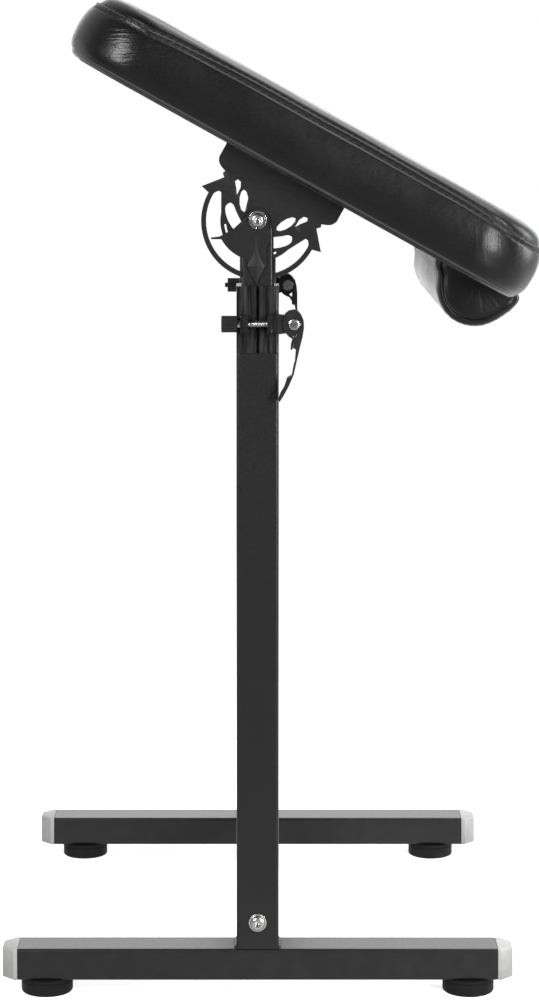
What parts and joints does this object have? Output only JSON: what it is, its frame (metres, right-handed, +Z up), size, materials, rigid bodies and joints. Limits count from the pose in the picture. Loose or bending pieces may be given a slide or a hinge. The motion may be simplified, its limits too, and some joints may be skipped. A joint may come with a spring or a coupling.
{
  "type": "tattoo armrest",
  "caption": "Height-adjustable armrest stand with a tilting padded top, a bolster under its low end, clamped telescopic posts and foot rails.",
  "frame": {"origin": "on the floor, under the middle of the whole outline", "axes": "+Z up, -Y towards the side that has the index plate, +X towards the pad's low end"},
  "size_m": [0.5086, 0.6, 0.9429],
  "materials": {
    "black_powder_coat": "satin",
    "black_plate": "satin",
    "zinc_steel": "satin",
    "grey_plastic": "satin",
    "black_plastic_gloss": "gloss",
    "black_plastic_matt": "matte",
    "black_rubber": "matte",
    "black_leather": "satin",
    "black_cloth": "matte",
    "plywood": "matte"
  },
  "bodies": {
    "base": {"crossbar": "black_powder_coat", "front_foot_rail": "black_powder_coat", "front_left_end_cap": "grey_plastic", "front_right_end_cap": "grey_plastic", "front_left_foot": "black_rubber", "front_right_foot": "black_rubber", "front_post": "black_powder_coat", "front_crossbar_plug": "zinc_steel", "front_crossbar_bolt": "zinc_steel", "front_crossbar_washer": "zinc_steel", "front_collar": "black_plastic_gloss", "front_clamp_bolt": "zinc_steel", "front_barrel_nut": "zinc_steel", "front_clamp_seat": "black_plastic_matt", "rear_foot_rail": "black_powder_coat", "rear_left_end_cap": "grey_plastic", "rear_right_end_cap": "grey_plastic", "rear_left_foot": "black_rubber", "rear_right_foot": "black_rubber", "rear_post": "black_powder_coat", "rear_crossbar_plug": "zinc_steel", "rear_crossbar_bolt": "zinc_steel", "rear_crossbar_washer": "zinc_steel", "rear_collar": "black_plastic_gloss", "rear_clamp_bolt": "zinc_steel", "rear_barrel_nut": "zinc_steel", "rear_clamp_seat": "black_plastic_matt"},
    "masts": {"index_plate": "black_plate", "front_mast": "black_powder_coat", "front_guide_plug": "black_plastic_matt", "front_pivot_spacer": "zinc_steel", "front_spring_washer": "zinc_steel", "front_pivot_bolt": "zinc_steel", "front_lock_nut": "zinc_steel", "rear_mast": "black_powder_coat", "rear_guide_plug": "black_plastic_matt", "rear_pivot_spacer": "zinc_steel", "rear_spring_washer": "zinc_steel", "rear_pivot_bolt": "zinc_steel", "rear_lock_nut": "zinc_steel"},
    "pad": {"pad_board": "plywood", "pad_dust_cover": "black_cloth", "pad_cushion": "black_leather", "bolster_board": "plywood", "bolster_cushion": "black_leather", "front_tilt_plate": "black_plate", "front_left_bracket_screw": "zinc_steel", "front_right_bracket_screw": "zinc_steel", "front_bolster_screw": "zinc_steel", "rear_tilt_plate": "black_plate", "rear_left_bracket_screw": "zinc_steel", "rear_right_bracket_screw": "zinc_steel", "rear_bolster_screw": "zinc_steel"},
    "front_knob": {"front_clamp_knob": "black_plastic_matt"},
    "front_lever": {"front_clamp_lever": "black_plastic_matt"},
    "rear_knob": {"rear_clamp_knob": "black_plastic_matt"},
    "rear_lever": {"rear_clamp_lever": "black_plastic_matt"}
  },
  "joints": [
    {"name": "height_slide", "type": "slide", "parent": "base", "child": "masts", "axis": [0, 0, 1], "range_m": [0, 0.3]},
    {"name": "pad_tilt", "type": "hinge", "parent": "masts", "child": "pad", "pos_m": [-0.01126, 0, 0.7372], "axis": [0, 1, 0], "range_deg": [-94, 36]},
    {"name": "front_lever_turn", "type": "hinge", "parent": "base", "child": "front_lever", "pos_m": [0.02274, -0.26, 0.6402], "axis": [0, -1, 0], "range_deg": [0, 120]},
    {"name": "front_knob_turn", "type": "hinge", "parent": "base", "child": "front_knob", "pos_m": [-0.03826, -0.26, 0.6402], "axis": [1, 0, 0], "continuous": true},
    {"name": "rear_lever_turn", "type": "hinge", "parent": "base", "child": "rear_lever", "pos_m": [0.02274, 0.26, 0.6402], "axis": [0, -1, 0], "range_deg": [-14, 106]},
    {"name": "rear_knob_turn", "type": "hinge", "parent": "base", "child": "rear_knob", "pos_m": [-0.03826, 0.26, 0.6402], "axis": [1, 0, 0], "continuous": true}
  ]
}
